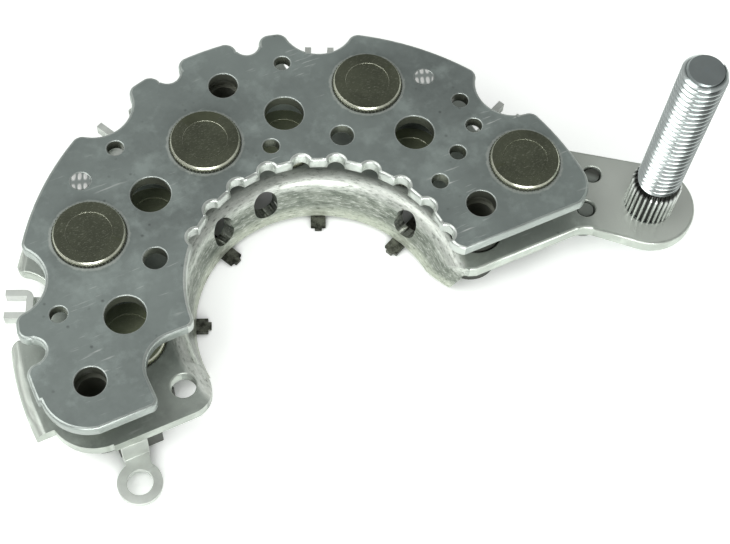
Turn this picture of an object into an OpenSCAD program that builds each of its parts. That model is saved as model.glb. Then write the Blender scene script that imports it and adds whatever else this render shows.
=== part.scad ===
// Alternator rectifier: two stacked horseshoe heat sinks carrying eight press-fit diodes.
// The shaft of the alternator passes through the horseshoe, which opens toward -Y.
// Origin: middle of the length and width, at the lowest boss face. The stud points up, toward +X.

/* [Top heat sink] */
// Thickness of the top plate
top_t = 2.5; // [2:0.1:3.5]
// Distance from the start of the collar's bend out to the top plate's rim
top_rim = 25; // [24.5:0.1:26.5]
// How far the top plate's inner edge lies outside the collar's lip
top_inner_gap = 0.8; // [0.2:0.1:1.5]
// Radius of each half-round bite in the inner edge
bite_r = 1.6; // [1.2:0.1:2]
// How far the bites' centres lie inside the inner edge
bite_in = 0.3; // [0:0.1:0.8]
// Angle between neighbouring bites
bite_step = 15.45; // [14:0.05:17]
// Angle of the first bite
bite_first = -2.5; // [-4:0.5:0]
// Number of bites
bite_count = 10; // [6:1:10]
// Depth of the straight end on the stud's side below the shaft axis
top_right_end = 5.8; // [5:0.1:6.5]
// Depth of the straight end on the far side below the shaft axis
top_left_end = 10.5; // [9.8:0.1:11]
// Outer corner radius of the end near the stud
top_right_corner_r = 6; // [3:0.5:7]
// Inner corner radius of the end near the stud
top_inner_corner_r = 3.5; // [2:0.5:4.5]
// Radius of the plate's lobe around the left mounting hole
top_lobe_r = 8.5; // [7.5:0.1:9]
// Radius of the recess that leaves the ear free
ear_recess_r = 5.7; // [5.5:0.1:6.5]
// Rounding of the corners beside every notch in the rims
notch_round_r = 2.1; // [1:0.1:2.6]
// Rounding of the small corners at the far end
end_round_r = 1.5; // [0.8:0.1:2.2]

/* [Openings in the top heat sink] */
// Radius of the windows above the lower diodes
window_r = 3.55; // [2.5:0.05:4.5]
// Radius of the large wire notches
notch_r = 6.7; // [6.2:0.1:7]
// Distance from the start of the collar's bend to the large notches' centres
notch_reach = 26.7; // [26.5:0.1:28]
// Radius of the eight small vent holes
vent_r = 1.5; // [0.8:0.1:1.8]
// Radius of the two larger vent holes
vent_large_r = 2.1; // [1.2:0.1:2.4]
// Width of the narrow notches beside the middle mounting hole
slot_w = 4.4; // [3:0.1:5]
// Distance from the start of the collar's bend to the narrow notches' round ends
slot_reach = 21.4; // [20.8:0.1:22.5]
// Distance from the start of the collar's bend to the end notch's round end
end_slot_reach = 21; // [20.8:0.1:22.5]

/* [Lower heat sink] */
// Thickness of the lower plate
low_t = 2.5; // [2:0.1:3]
// Distance from the start of the collar's bend out to the lower plate's rim
low_rim = 27.4; // [27.2:0.1:29]
// Radius of the rolled outer edge
low_edge_r = 1.8; // [0.5:0.1:1.9]
// Radius at which the inner collar starts to bend down
collar_start_r = 27; // [26.6:0.1:27.4]
// Bend radius of the collar on its upper side
collar_bend_r = 3; // [2.9:0.1:3.4]
// How far the collar's lip lies inside the start of its bend
collar_run = 4.5; // [4:0.1:5]
// Height of the collar's lip above the boss faces
lip_z = 1.3; // [1.2:0.1:3]
// Depth of the straight end on the stud's side below the shaft axis
low_right_end = 6; // [5.5:0.1:7]
// Depth of the straight end on the far side below the shaft axis
low_left_end = 10.7; // [10.2:0.1:11.5]
// Radius of the lower plate's lobe around the left mounting hole
low_lobe_r = 8.2; // [7.5:0.1:8.8]
// Width of the oval holes in the collar
collar_hole_w = 4.6; // [3:0.1:5]
// Length of the oval holes in the collar, measured down the wall
collar_hole_l = 6.4; // [5:0.1:6.6]
// Height of the oval holes' centres above the boss faces
collar_hole_z = 6.8; // [6.4:0.1:7]
// Land between the start of the collar's bend and the lower diodes' bores
collar_clear = 0.7; // [0.4:0.05:1]
// Radius of the tab's end around the stud
tab_r = 8.7; // [7.5:0.1:10]
// Radius of the ear's hole
ear_hole_r = 2.2; // [1.5:0.1:2.8]
// Radius of the ear's rounded end
ear_r = 4.5; // [4.2:0.1:5.2]

/* [Heights] */
// Height of the lower plate's underside above the boss faces
low_z = 8; // [7.5:0.1:8.5]
// Air gap between the two plates
plate_gap = 6.4; // [5.5:0.1:8]

/* [Diodes] */
// Radius of a diode's cup, which is also the radius of its bore
cup_r = 6.35; // [6:0.05:6.5]
// Height of a cup
cup_h = 6; // [5.6:0.1:6.4]
// How far a cup's face stands above its plate
cup_proud = 1.1; // [1:0.05:1.8]
// Radius over the knurl's teeth
knurl_r = 6.5; // [6.45:0.05:6.8]
// Depth of the knurl's teeth
knurl_d = 0.2; // [0.1:0.01:0.2]
// Height of the knurl's teeth above the plate
knurl_h = 0.5; // [0.3:0.05:0.7]
// Number of the knurl's teeth
knurl_teeth = 60; // [30:1:72]
// Height of the bright chamfer round the face
face_chamfer = 0.3; // [0.1:0.05:0.4]
// Radius of the cup's upper rim, above the knurl
rim_r = 6.24; // [6.1:0.01:6.24]
// Radius of the flat face
face_r = 6; // [5.7:0.05:6.05]
// Radius of the shallow recess pressed into the face
face_ring_r = 4; // [3:0.1:5]
// Wall of the cup
cup_wall = 1.1; // [0.8:0.1:1.5]
// Depth of the cup's hollow, which the seal fills
cup_hollow = 3.4; // [2:0.1:4]
// Radius of a lead wire
lead_r = 0.65; // [0.4:0.05:0.8]
// Radius of the nail head of a lead inside the seal
lead_head_r = 1.9; // [1.2:0.1:2.5]

/* [Stud] */
// Distance from the start of the collar's bend to the stud, along the plate's length
stud_reach = 36.7; // [35:0.1:39]
// Distance of the stud below the shaft axis
stud_y = 6.6; // [5:0.1:8]
// Radius of the threaded shank, for an M8 thread
stud_r = 4; // [3:0.5:4]
// Radius of the splined collar
stud_collar_r = 4.55; // [4.4:0.05:5.5]
// Height of the splined collar above the lower plate
stud_collar_h = 8.2; // [6:0.1:10]
// Length of the stud above the lower plate
stud_l = 41.75; // [30:0.25:50]
// Number of splines on the collar
stud_splines = 28; // [16:1:32]
// Radius of the round head under the plate
stud_head_r = 6.6; // [5.5:0.1:8]
// Thickness of the round head under the plate
stud_head_h = 2; // [1:0.1:3]

/* [Mounting points] */
// Radius of the bolt holes, for M5 bolts
bolt_r = 2.65; // [2.2:0.05:2.8]
// Outer radius of the metal sleeves
sleeve_r = 4; // [3.8:0.1:4.2]
// Radius of the sleeves' widened upper mouth
sleeve_mouth_r = 3.3; // [3:0.1:3.5]
// Depth of the sleeves' widened upper mouth
sleeve_mouth_h = 1.8; // [0.5:0.1:3]
// Radius of the bosses that the rectifier stands on
boss_r = 5.1; // [5:0.1:5.6]
// Distance from the start of the collar's bend to the left mounting hole
bolt_left_reach = 16; // [15.5:0.1:16.5]
// Distance from the start of the collar's bend to the middle mounting hole
bolt_middle_reach = 16.2; // [15.5:0.1:16.5]
// Distance from the start of the collar's bend to the right mounting hole
bolt_right_reach = 4.75; // [4.5:0.05:5]

/* [Terminals] */
// Thickness of the phase terminals' strip
term_t = 0.8; // [0.5:0.1:0.9]
// Width of the phase terminals' radial bar
term_w = 4; // [3:0.1:5]
// Width of the inner tabs under the lip
tab_end_w = 2.8; // [2:0.1:3.6]
// How far the inner tabs reach inside the collar's lip
tab_end_in = 2.2; // [1:0.1:2.7]
// Gap between the bottom of a large notch and the upright in it
riser_gap = 0.8; // [0.4:0.1:1.2]
// Height of the clips' upper edge above the boss faces
clip_top = 9.9; // [8:0.1:11]
// Height of the clips, whose strip stands on edge
clip_h = 2.2; // [1.5:0.1:3]
// Thickness of the clips' strip
clip_t = 1.2; // [0.8:0.1:1.4]
// Gap between the two prongs of a clip
clip_gap = 3.15; // [2:0.05:3.6]
// Distance from the upright to the closed end of a clip
clip_root = 2.6; // [1.5:0.1:3.5]
// Length of a clip from the upright to the prongs' tips
clip_l = 7.5; // [6:0.1:8.5]
// Outer bend radius of a clip's closed end
clip_bend_r = 1.6; // [1.3:0.1:2.2]
// Thickness of the regulator terminal's strip
reg_t = 1; // [0.6:0.1:1.2]
// Width of the regulator terminal's strip
reg_w = 4.7; // [3.5:0.1:5.5]
// Outer radius of the regulator terminal's ring
reg_ring_r = 3.92; // [3.5:0.02:5]
// Radius of the hole in the regulator terminal's ring
reg_hole_r = 2.25; // [1.5:0.05:2.5]
// Height of the regulator terminal's ring above the boss faces
reg_ring_z = 1.4; // [1:0.1:3]
// Reach of the ring's centre below the shaft axis
reg_reach = 15.4; // [14:0.1:18]

/* [Terminal moulding] */
// Distance from the start of the collar's bend to the moulding's outer wall
mould_rim = 20.6; // [20:0.1:20.7]
// Distance from the start of the collar's bend to the moulding's inner wall
mould_inner_gap = 3; // [2.5:0.1:4]
// Thickness of the moulding's floor
mould_floor = 2.6; // [1.5:0.1:4]
// Thickness of the moulding's rim walls
mould_wall = 1.6; // [1:0.1:2.5]
// Clearance of the moulding's bays round the lower diodes
bay_clear = 0.7; // [0.4:0.1:1.2]
// Outer radius of the insulating tubes round the upper leads
tube_r = 2.9; // [2.2:0.1:3.2]
// Inner radius of the insulating tubes round the upper leads
tube_hole_r = 1.5; // [1:0.1:1.8]
// How far the tubes stand above the lower plate
tube_proud = 1.2; // [0.5:0.1:2]
// Radius of the two pegs beside the stud
peg_r = 1.45; // [1:0.05:2]
// How far the pegs' tops lie below the lower plate's surface
peg_sunk = 0.5; // [0.3:0.1:1.5]
// Clearance of pegs, tubes and necks in the lower plate's holes
hole_clear = 0.3; // [0.1:0.1:0.5]

/* [Rivets] */
// Radius of a rivet's shank
rivet_r = 1.3; // [1:0.1:1.4]
// Radius of a rivet's flush upper head
rivet_head_r = 1.75; // [1.6:0.05:2.1]
// Depth of a rivet's flush upper head
rivet_head_h = 0.9; // [0.5:0.1:1.2]
// Radius of a rivet's lower head
rivet_foot_r = 2.4; // [1.8:0.1:3]
// Outer radius of the insulating pillars round the rivets
pillar_r = 3; // [2.5:0.1:3.4]

/* [Hidden] */
$fn = 64;

// Angles of the four wire notches, with the clip of one phase in each
phase_angles = [157.2, 115.5, 66.2, 24.5];
// Upper diode of each phase: distance from the collar's bend and angle from its notch
top_diode_out = [13.86, 6.98, 13.89, 16.46];
top_diode_off = [-12.4, -12, -12.5, -16];
// Angle of each lower diode from its notch; their bores follow the collar
low_diode_off = [11.1, 12.1, 10.9, 11.4];
// Angle of each clip from the middle of its notch
clip_off = [-0.7, 0.7, -0.6, -0.35];
// Mounting holes: angles about the shaft axis
bolt_left_angle = 182.9;
bolt_middle_angle = 90.2;
bolt_right_angle = 3.2;
// Small vents as distance from the collar's bend and angle
vents = [[17.9, 165.2], [17.75, 120.9], [18.1, 74.8], [17.7, 30.8],
         [14.8, 24], [8.3, 21.6], [1.5, 18.1], [0.8, 84.7]];
vents_large = [[1.9, 149.1], [2, 58.3]];
rivets = [[19.3, 132], [18.9, 41.1]];
// Narrow notches at the plate's edge
slot_angles = [99.5, 81.5];
end_slot_angle = 172.2;
collar_hole_angles = [113.9, 90.8, 23.9];

function polar(r, a) = [r * cos(a), r * sin(a)];

// Radii about the shaft axis, all measured from the start of the collar's bend
lip_r = collar_start_r - collar_run;
top_inner_r = lip_r + top_inner_gap;
bite_centre_r = top_inner_r - bite_in;
tab_end_r = lip_r - tab_end_in;
top_outer_r = collar_start_r + top_rim;
low_outer_r = collar_start_r + low_rim;
notch_centre_r = collar_start_r + notch_reach;
low_notch_in = 0.5;
slot_bottom_r = collar_start_r + slot_reach;
end_slot_bottom_r = collar_start_r + end_slot_reach;
low_diode_r = collar_start_r + collar_clear + cup_r;
top_diode_r = [for (d = top_diode_out) collar_start_r + d];
mould_outer_r = collar_start_r + mould_rim;
mould_inner_r = collar_start_r + mould_inner_gap;
riser_r = notch_centre_r - notch_r + riser_gap;
clip_root_r = riser_r + clip_root;
clip_tip_r = riser_r + clip_l;

// Heights that follow from the sizes above
low_top = low_z + low_t;
top_z = low_top + plate_gap;
top_top = top_z + top_t;
term_z = 0.2;
term_top = term_z + term_t;
fit = 0.1;
blend = 0.02;
through = 1;
huge = 200;

bolt_left = polar(collar_start_r + bolt_left_reach, bolt_left_angle);
bolt_middle = polar(collar_start_r + bolt_middle_reach, bolt_middle_angle);
bolt_right = polar(collar_start_r + bolt_right_reach, bolt_right_angle);
bolts = [bolt_left, bolt_middle, bolt_right];
stud = [collar_start_r + stud_reach, -stud_y];
ear_out = 1.4;
ear = [-collar_start_r - ear_out, -5.3];
// Where the collar stops at the ear, and where the outer arc gives way to the lobe
collar_stop = 2;
lobe_start = 3.9;
pegs = [stud + [-6.5, 9.8], stud + [-11.2, 3.8]];

// The whole part is set over the middle of its own length and width
shift_x = (low_outer_r - stud[0] - tab_r) / 2;
shift_y = (reg_reach + reg_ring_r - low_outer_r) / 2;

module place() {
    translate([shift_x, shift_y, 0])
        children();
}

// Puts a child at each [distance from the collar's bend, angle] of a list
module at_polar(list) {
    for (p = list)
        translate(polar(collar_start_r + p[0], p[1]))
            children();
}

// A radial notch from the round end outward
module radial_slot(bottom_r, angle, w, outer_r) {
    rotate(angle) {
        translate([bottom_r + w / 2, 0])
            circle(d = w);
        translate([bottom_r + w / 2, -w / 2])
            square([outer_r - bottom_r, w]);
    }
}

// What the rounded corners beside a round notch take away from a rim
module notch_corners(outer_r, centre_r, r, round_r, angle) {
    far = outer_r - round_r;
    spread = acos((pow(far, 2) + pow(centre_r, 2) - pow(r + round_r, 2)) / (2 * far * centre_r));
    rotate(angle)
        for (s = [-1, 1])
            difference() {
                polygon([polar(far, s * spread), polar(outer_r + through, s * spread), [centre_r, 0]]);
                translate(polar(far, s * spread))
                    circle(r = round_r + blend);
            }
}

// What the rounded corners beside a straight notch take away from a rim
module slot_corners(outer_r, w, round_r, angle) {
    side = w / 2 + round_r;
    far = sqrt(pow(outer_r - round_r, 2) - pow(side, 2));
    rotate(angle)
        for (s = [-1, 1])
            difference() {
                polygon([[far, s * side], polar(outer_r + through, s * atan2(side, far)),
                         [outer_r + through, 0], [far, 0]]);
                translate([far, s * side])
                    circle(r = round_r + blend);
            }
}

// What a rounded outer corner between a straight end and the outer arc takes away
module outer_corner_cut(end_y, outer_r, corner_r) {
    cy = corner_r - end_y;
    cx = sqrt(pow(outer_r - corner_r, 2) - pow(cy, 2));
    reach = outer_r + 2;
    away = polar(reach, atan2(cy, cx));
    difference() {
        polygon([[cx, cy], [cx, -end_y - through], [reach, -end_y - through], [reach, away[1]], away]);
        translate([cx, cy])
            circle(r = corner_r);
    }
}

// What a rounded inner corner between a straight end and the inner arc takes away
module inner_corner_cut(end_y, inner_r, corner_r) {
    cy = corner_r - end_y;
    cx = sqrt(pow(inner_r + corner_r, 2) - pow(cy, 2));
    near = polar(inner_r - through, atan2(cy, cx));
    difference() {
        polygon([[cx, cy], near, [near[0], -end_y - through], [cx, -end_y - through]]);
        translate([cx, cy])
            circle(r = corner_r);
    }
}

// Outline of the top plate, without its round holes
module top_outline() {
    difference() {
        union() {
            intersection() {
                circle(r = top_outer_r);
                union() {
                    translate([0, -top_right_end])
                        square([huge, huge]);
                    translate([bolt_left[0], -top_left_end])
                        square([-bolt_left[0], huge]);
                    translate([-huge, bolt_left[1]])
                        square([huge, huge]);
                }
            }
            intersection() {
                translate(bolt_left)
                    circle(r = top_lobe_r);
                circle(r = top_outer_r);
                translate([-huge, -top_left_end])
                    square([huge, huge]);
            }
        }
        circle(r = top_inner_r);
        outer_corner_cut(top_right_end, top_outer_r, top_right_corner_r);
        inner_corner_cut(top_right_end, top_inner_r, top_inner_corner_r);
        translate(ear)
            circle(r = ear_recess_r);
        translate([ear[0] - ear_recess_r, ear[1] - huge])
            square([huge + ear[0], huge]);
        translate([ear[0], ear[1] + ear_recess_r - huge])
            square([-ear[0], huge]);
        for (i = [0 : bite_count - 1])
            translate(polar(bite_centre_r, bite_first + i * bite_step))
                circle(r = bite_r);
        for (a = phase_angles) {
            translate(polar(notch_centre_r, a))
                circle(r = notch_r);
            notch_corners(top_outer_r, notch_centre_r, notch_r, notch_round_r, a);
        }
        for (a = slot_angles) {
            radial_slot(slot_bottom_r, a, slot_w, top_outer_r);
            slot_corners(top_outer_r, slot_w, notch_round_r, a);
        }
        radial_slot(end_slot_bottom_r, end_slot_angle, slot_w, top_outer_r);
        slot_corners(top_outer_r, slot_w, notch_round_r, end_slot_angle);
        // Small corners on both sides of the ear's recess
        mirror([1, 0])
            inner_corner_cut(-ear[1] - ear_recess_r, top_inner_r, end_round_r);
        translate([ear[0] - ear_recess_r - end_round_r, end_round_r - top_left_end])
            difference() {
                translate([0, -end_round_r - through])
                    square(end_round_r + through);
                circle(r = end_round_r + blend);
            }
    }
}

// Satin grey plate that carries four diodes; it is bolted to the alternator's frame
module negative_heat_sink() {
    color([0.52, 0.55, 0.53])
        place()
            difference() {
                translate([0, 0, top_z])
                    linear_extrude(height = top_t)
                        top_outline();
                translate([0, 0, top_z - through]) {
                    for (i = [0 : 3]) {
                        translate(polar(top_diode_r[i], phase_angles[i] + top_diode_off[i]))
                            cylinder(r = cup_r, h = top_t + 2 * through);
                        translate(polar(low_diode_r, phase_angles[i] + low_diode_off[i]))
                            cylinder(r = window_r, h = top_t + 2 * through);
                    }
                    for (b = bolts)
                        translate(b)
                            cylinder(r = bolt_r, h = top_t + 2 * through);
                    at_polar(vents)
                        cylinder(r = vent_r, h = top_t + 2 * through);
                    at_polar(vents_large)
                        cylinder(r = vent_large_r, h = top_t + 2 * through);
                    at_polar(rivets)
                        cylinder(r = rivet_r, h = top_t + 2 * through);
                }
                at_polar(rivets)
                    translate([0, 0, top_top - rivet_head_h])
                        cylinder(r1 = rivet_r, r2 = rivet_head_r, h = rivet_head_h);
            }
}

// Slope of the collar's wall from the upright, tangent to its bend
bend_c = [collar_start_r, low_top - collar_bend_r];
lip_run = bend_c[0] - lip_r;
lip_rise = bend_c[1] - lip_z;
wall_lean = atan2(lip_run, lip_rise) - asin(collar_bend_r / norm([lip_run, lip_rise]));
back_bend_r = collar_bend_r - low_t;
back_start = [bend_c[0] - back_bend_r * cos(wall_lean), bend_c[1] + back_bend_r * sin(wall_lean)];
lip_back_r = back_start[0] - (back_start[1] - lip_z) * tan(wall_lean);
bend_steps = 8;
roll_steps = 5;

function arc(c, r, a0, a1, n) = [for (i = [0 : n]) [c[0] + r * cos(a0 + (a1 - a0) * i / n),
                                                   c[1] + r * sin(a0 + (a1 - a0) * i / n)]];

// Cross-section of the lower plate: rolled outer edge, flat web, collar bent down to the lip
module low_section() {
    polygon(concat(
        [[lip_r, lip_z]],
        arc(bend_c, collar_bend_r, 180 - wall_lean, 90, bend_steps),
        arc([low_outer_r - low_edge_r, low_top - low_edge_r], low_edge_r, 90, 0, roll_steps),
        [[low_outer_r, low_z]],
        arc(bend_c, back_bend_r, 90, 180 - wall_lean, 3),
        [[lip_back_r, lip_z]]));
}

// Plan region that the ring of the lower plate keeps; the ear takes over where the collar ends
module low_ring_region() {
    difference() {
        union() {
            translate([0, -low_right_end])
                square([huge, huge]);
            translate([bolt_left[0], -low_left_end])
                square([-bolt_left[0], huge]);
            translate([-huge, -lobe_start])
                square([huge, huge]);
        }
        intersection() {
            circle(r = collar_start_r);
            translate([-huge, -huge - collar_stop])
                square([huge, huge]);
        }
        translate([ear[0], ear[1] - huge])
            square([-ear[0], huge]);
        for (a = phase_angles)
            notch_corners(low_outer_r, notch_centre_r - low_notch_in, notch_r, notch_round_r, a);
    }
}

function tangent_point(p, c, r, side) =
    c + polar(r, atan2(p[1] - c[1], p[0] - c[0]) + side * acos(r / norm(p - c)));

tab_root_low = [low_outer_r - 4, -low_right_end];
tab_root_r = 5;
tab_root_high = polar(low_outer_r - low_edge_r, 14.4);

// Plan of the stud's tab, with straight sides tangent to its round end
module tab_outline() {
    translate(stud)
        circle(r = tab_r);
    side_r = tab_r - blend;
    polygon([tab_root_low, tangent_point(tab_root_low, stud, side_r, 1), stud,
             tangent_point(tab_root_high, stud, side_r, -1), tab_root_high,
             polar(collar_start_r + tab_r, 10), [collar_start_r + tab_r, -low_right_end]]);
    // Fillet where the straight end turns down into the tab
    low_side = tangent_point(tab_root_low, stud, side_r, 1) - tab_root_low;
    turn = atan2(-low_side[1], low_side[0]);
    root_l = tab_root_r * tan(turn / 2);
    difference() {
        polygon([tab_root_low - [root_l, 0], tab_root_low, tab_root_low + polar(root_l, -turn),
                 tab_root_low - [root_l, tab_root_r]]);
        translate(tab_root_low - [root_l, tab_root_r])
            circle(r = tab_root_r - blend);
    }
}

// Plan of the flat ear at the far end of the collar
module ear_outline() {
    translate(ear)
        circle(r = ear_r);
    translate([ear[0], ear_r - low_left_end])
        circle(r = ear_r);
    translate([ear[0] - ear_r, -low_left_end])
        square([ear_r, ear[1] + low_left_end]);
    translate([ear[0], ear_r - low_left_end])
        square([ear_r - blend, ear[1] + low_left_end - ear_r]);
    translate([ear[0] - ear_r, ear[1]])
        square([ear_r, ear_r]);
}

// Smooth plate with a drawn inner collar; it carries four diodes and the stud
module positive_heat_sink() {
    color([0.72, 0.75, 0.71])
        place()
            difference() {
                union() {
                    intersection() {
                        rotate_extrude()
                            low_section();
                        translate([0, 0, -through])
                            linear_extrude(height = low_top + 2 * through)
                                low_ring_region();
                    }
                    intersection() {
                        translate([bolt_left[0], bolt_left[1], low_z])
                            cylinder(r = low_lobe_r, h = low_t);
                        translate([-huge, -low_left_end, 0])
                            cube([huge, huge, low_top]);
                    }
                    translate([0, 0, low_z])
                        linear_extrude(height = low_t) {
                            tab_outline();
                            ear_outline();
                        }
                }
                // Curved end of the collar on the stud's side
                translate([0, 0, -through])
                    linear_extrude(height = low_top + 2 * through)
                        collar_end();
                for (a = phase_angles)
                    translate(polar(notch_centre_r - low_notch_in, a))
                        translate([0, 0, low_z - through])
                            cylinder(r = notch_r, h = low_t + 2 * through);
                translate([0, 0, low_z - through]) {
                    for (i = [0 : 3]) {
                        translate(polar(low_diode_r, phase_angles[i] + low_diode_off[i]))
                            cylinder(r = cup_r, h = low_t + 2 * through);
                        translate(polar(top_diode_r[i], phase_angles[i] + top_diode_off[i]))
                            cylinder(r = tube_r + hole_clear, h = low_t + 2 * through);
                    }
                    for (b = bolts)
                        translate(b)
                            cylinder(r = sleeve_r + neck_wall + hole_clear, h = low_t + 2 * through);
                    for (p = pegs)
                        translate(p)
                            cylinder(r = peg_r + hole_clear, h = low_t + 2 * through);
                    at_polar(rivets)
                        cylinder(r = pillar_r + hole_clear, h = low_t + 2 * through);
                    translate(ear)
                        cylinder(r = ear_hole_r, h = low_t + 2 * through);
                    translate(stud)
                        cylinder(r = stud_collar_r - spline_d - valley_step, h = low_t + 2 * through);
                }
                for (a = collar_hole_angles)
                    rotate(a)
                        translate([lip_r, 0, collar_hole_z])
                            rotate([0, 90 + wall_lean, 0])
                                collar_hole();
            }
}

// Plan of what is trimmed off the collar's end on the stud's side
module collar_end() {
    tip = [collar_start_r + 1.2, -low_right_end];
    polygon([tip, tip + [-1.4, 0.5], tip + [-2.5, 1.4], tip + [-3.9, 3.4], tip + [-4.8, 5.2],
             tip + [-5.75, 7.45], tip + [-7.2, 10.5], [0, 0], [0, -low_right_end - through],
             tip - [0, through]]);
}

// Oval hole pierced square to the collar's wall
module collar_hole() {
    span = (collar_hole_l - collar_hole_w) / 2;
    translate([0, 0, -low_t * 2])
        linear_extrude(height = low_t * 5) {
            translate([span, 0])
                circle(d = collar_hole_w);
            translate([-span, 0])
                circle(d = collar_hole_w);
            translate([-span, -collar_hole_w / 2])
                square([2 * span, collar_hole_w]);
        }
}

// Cup of a press-fit diode, standing on its lead's side; z is its upper face
module diode_cup() {
    difference() {
        union() {
            translate([0, 0, -cup_h])
                cylinder(r = cup_r, h = cup_h - cup_proud);
            translate([0, 0, -cup_proud])
                linear_extrude(height = knurl_h)
                    knurl_outline(knurl_r, knurl_d, knurl_teeth);
            translate([0, 0, -cup_proud])
                cylinder(r = rim_r, h = cup_proud - face_chamfer);
            translate([0, 0, -face_chamfer])
                cylinder(r1 = rim_r, r2 = face_r, h = face_chamfer);
        }
        translate([0, 0, -face_recess])
            cylinder(r = face_ring_r, h = face_recess + through);
        translate([0, 0, -cup_h - through])
            cylinder(r = cup_r - cup_wall, h = cup_hollow + through);
    }
}

face_recess = 0.15;
valley_step = 0.03;
neck_wall = 0.7;
spline_d = 0.3;

// Star outline of straight teeth
module knurl_outline(tip_r, depth, teeth) {
    polygon([for (i = [0 : 2 * teeth - 1]) polar(tip_r - (i % 2) * depth, i * 180 / teeth)]);
}

// Moulded seal that fills the cup's hollow round the lead
module diode_seal() {
    difference() {
        translate([0, 0, -cup_h])
            cylinder(r = cup_r - cup_wall, h = cup_hollow);
        translate([0, 0, -cup_h - through])
            cylinder(r = lead_r, h = cup_hollow + 2 * through);
        translate([0, 0, cup_hollow - cup_h - lead_head_h])
            cylinder(r = lead_head_r, h = lead_head_h + through);
    }
}

lead_head_h = 0.7;

// Lead wire with a nail head, from inside the seal down to the phase terminal
module diode_lead(face_z) {
    translate([0, 0, term_z])
        cylinder(r = lead_r, h = face_z - cup_h + cup_hollow - lead_head_h - term_z);
    translate([0, 0, face_z - cup_h + cup_hollow - lead_head_h])
        cylinder(r = lead_head_r, h = lead_head_h);
}

top_face = top_top + cup_proud;
low_face = low_top + cup_proud;

module on_top_diode(i) {
    place()
        translate(polar(top_diode_r[i], phase_angles[i] + top_diode_off[i]))
            children();
}

module on_low_diode(i) {
    place()
        translate(polar(low_diode_r, phase_angles[i] + low_diode_off[i]))
            children();
}

module top_diode(i) {
    color([0.36, 0.37, 0.3])
        on_top_diode(i)
            translate([0, 0, top_face])
                diode_cup();
}

module top_seal(i) {
    color([0.13, 0.13, 0.14])
        on_top_diode(i)
            translate([0, 0, top_face])
                diode_seal();
}

module top_lead(i) {
    color([0.75, 0.74, 0.7])
        on_top_diode(i)
            diode_lead(top_face);
}

module lower_diode(i) {
    color([0.36, 0.37, 0.3])
        on_low_diode(i)
            translate([0, 0, low_face])
                diode_cup();
}

module lower_seal(i) {
    color([0.13, 0.13, 0.14])
        on_low_diode(i)
            translate([0, 0, low_face])
                diode_seal();
}

module lower_lead(i) {
    color([0.75, 0.74, 0.7])
        on_low_diode(i)
            diode_lead(low_face);
}

eye_r = 2.3;
arm_w = 3;
nub_w = 1.3;
nub_l = 0.6;

// Plan of a phase terminal's flat part: radial bar, inner tab and an arm to each lead
module phase_plan(i) {
    top_at = polar(top_diode_r[i], top_diode_off[i]);
    low_at = polar(low_diode_r, low_diode_off[i]);
    difference() {
        union() {
            translate([mould_inner_r, -term_w / 2])
                square([riser_r + term_t - mould_inner_r, term_w]);
            translate([tab_end_r, -tab_end_w / 2])
                square([mould_inner_r - tab_end_r + term_t, tab_end_w]);
            translate([tab_end_r - nub_l, -nub_w / 2])
                square([nub_l + term_t, nub_w]);
            translate(top_at)
                circle(r = eye_r);
            translate(low_at)
                circle(r = eye_r);
            translate([top_at[0] - arm_w / 2, top_at[1]])
                square([arm_w, -top_at[1]]);
            translate([low_at[0] - arm_w / 2, 0])
                square([arm_w, low_at[1]]);
        }
        translate(top_at)
            circle(r = lead_r + fit / 2);
        translate(low_at)
            circle(r = lead_r + fit / 2);
    }
}

// Clip for the stator wire: a strip on edge, bent to a U that opens outward
module clip_plan() {
    w = clip_gap + 2 * clip_t;
    difference() {
        union() {
            translate([clip_root_r + clip_bend_r, -w / 2])
                square([clip_tip_r - clip_root_r - clip_bend_r, w]);
            translate([clip_root_r, clip_bend_r - w / 2])
                square([clip_bend_r + clip_t, w - 2 * clip_bend_r]);
            for (s = [-1, 1])
                translate([clip_root_r + clip_bend_r, s * (w / 2 - clip_bend_r)])
                    circle(r = clip_bend_r);
        }
        translate([clip_root_r + clip_t, -clip_gap / 2])
            square([clip_l, clip_gap]);
    }
}

// Tinned terminal of one phase, welded to two leads and folded up into the clip
module phase_terminal(i) {
    color([0.8, 0.82, 0.79])
        place()
            rotate(phase_angles[i]) {
                translate([0, 0, term_z])
                    linear_extrude(height = term_t)
                        phase_plan(i);
                translate([riser_r, -term_w / 2, term_z])
                    cube([term_t, term_w, clip_top - clip_h + term_t - term_z]);
                rotate(clip_off[i]) {
                    translate([riser_r + fit, -term_w / 2, clip_top - clip_h])
                        cube([clip_root + clip_t / 2, term_w, term_t]);
                    translate([0, 0, clip_top - clip_h])
                        linear_extrude(height = clip_h)
                            clip_plan();
                }
            }
}

reg_x = bolt_left[0] + 3.25;
reg_ring_x = reg_x - 1.3;
block_front = 9.8;
block_left = bolt_left[0] + 0.75;
block_right = bolt_left[0] + 8.55;
block_z = 2;

// Ring terminal for the regulator's screw, bent down the front of the moulding
module regulator_terminal() {
    color([0.8, 0.82, 0.79])
        place() {
            difference() {
                translate([0, 0, reg_ring_z])
                    linear_extrude(height = reg_t) {
                        translate([reg_ring_x, -reg_reach])
                            circle(r = reg_ring_r);
                        polygon([[reg_x - reg_w / 2, -block_front],
                                 [reg_x - reg_w / 2, -reg_reach + reg_ring_r * 0.75],
                                 [reg_ring_x, -reg_reach],
                                 [reg_x + reg_w / 2 - 0.6, -reg_reach + reg_ring_r * 0.6],
                                 [reg_x + reg_w / 2, -block_front]]);
                    }
                translate([reg_ring_x, -reg_reach, reg_ring_z - through])
                    cylinder(r = reg_hole_r, h = reg_t + 2 * through);
            }
            translate([reg_x - reg_w / 2, -block_front - reg_t, reg_ring_z])
                cube([reg_w, reg_t, low_z - reg_ring_z]);
            translate([reg_x - reg_w / 2, -block_front - reg_t, low_z - reg_t])
                cube([reg_w, 2.8, reg_t]);
        }
}

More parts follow.
